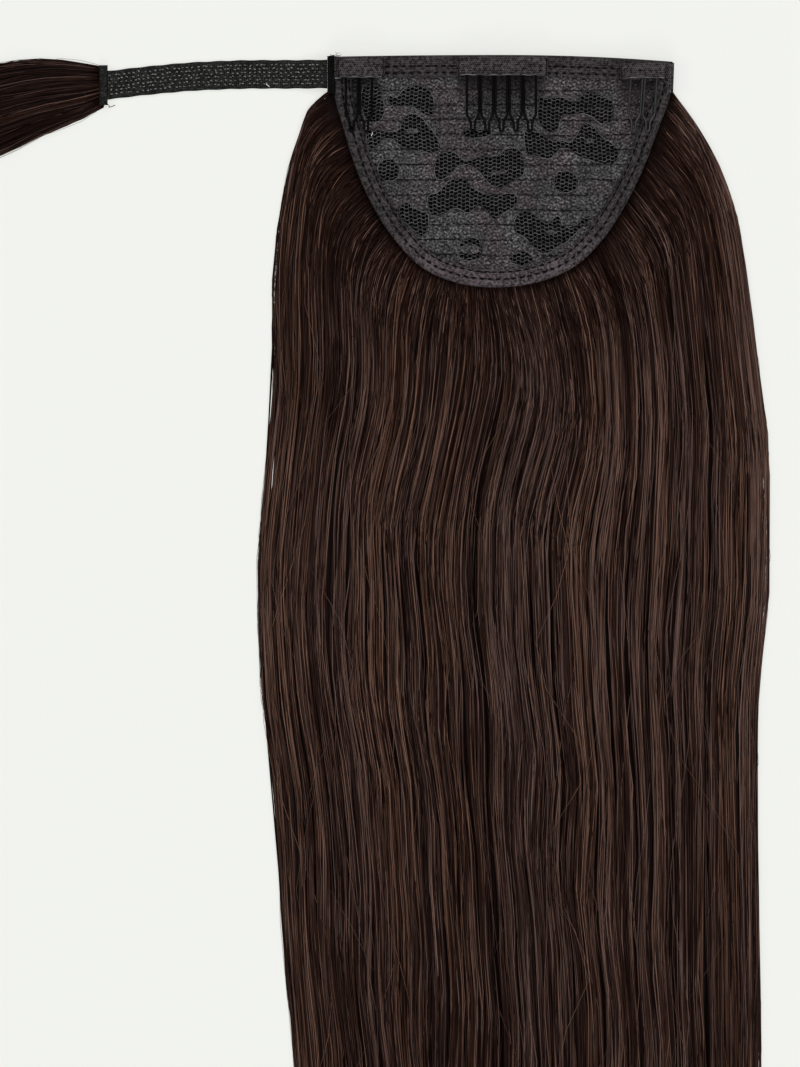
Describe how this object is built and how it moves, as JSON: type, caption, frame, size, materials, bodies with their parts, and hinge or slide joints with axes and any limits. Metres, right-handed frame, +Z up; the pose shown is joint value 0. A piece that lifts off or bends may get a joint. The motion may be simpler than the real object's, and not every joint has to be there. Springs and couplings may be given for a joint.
{
  "type": "ponytail hairpiece",
  "caption": "Wrap-around ponytail hairpiece: long straight hair on a lace cap with wire combs, a hook strap and a strand to wind round the base.",
  "frame": {"origin": "on the hair's flat underside, where the piece lies, under the middle of the cap", "axes": "+Y from the hair's tips towards the cap's band, +Z up, out of the head side of the cap, +X away from the strap"},
  "size_m": [0.4148, 0.5089, 0.0183],
  "materials": {
    "hair": "smooth straight hair, very dark brown with warm lights, soft sheen",
    "lace": "charcoal net lace with denser cloud-shaped patches, matt",
    "tape": "woven charcoal tape, folded and sewn, matt",
    "wire": "black coated spring wire, satin",
    "hook_tape": "black woven nylon hook tape with plain selvedges"
  },
  "bodies": {
    "root": {"hair_fall": "hair", "wrap_strand": "hair", "weft_row_1": "tape", "weft_row_2": "tape", "weft_row_3": "tape", "weft_row_4": "tape", "weft_row_5": "tape", "weft_row_6": "tape", "weft_row_7": "tape", "weft_row_8": "tape", "weft_row_9": "tape", "weft_row_10": "tape", "weft_row_11": "tape", "weft_row_12": "tape", "lace_base": "lace", "edge_binding": "tape", "top_band": "tape", "comb_left": "wire", "comb_center": "wire", "comb_right": "wire", "comb_cover_left": "tape", "comb_cover_center": "tape", "comb_cover_right": "tape", "hook_strap": "hook_tape", "strap_end_seam": "hook_tape", "strap_bartack": "hook_tape"}
  },
  "joints": []
}
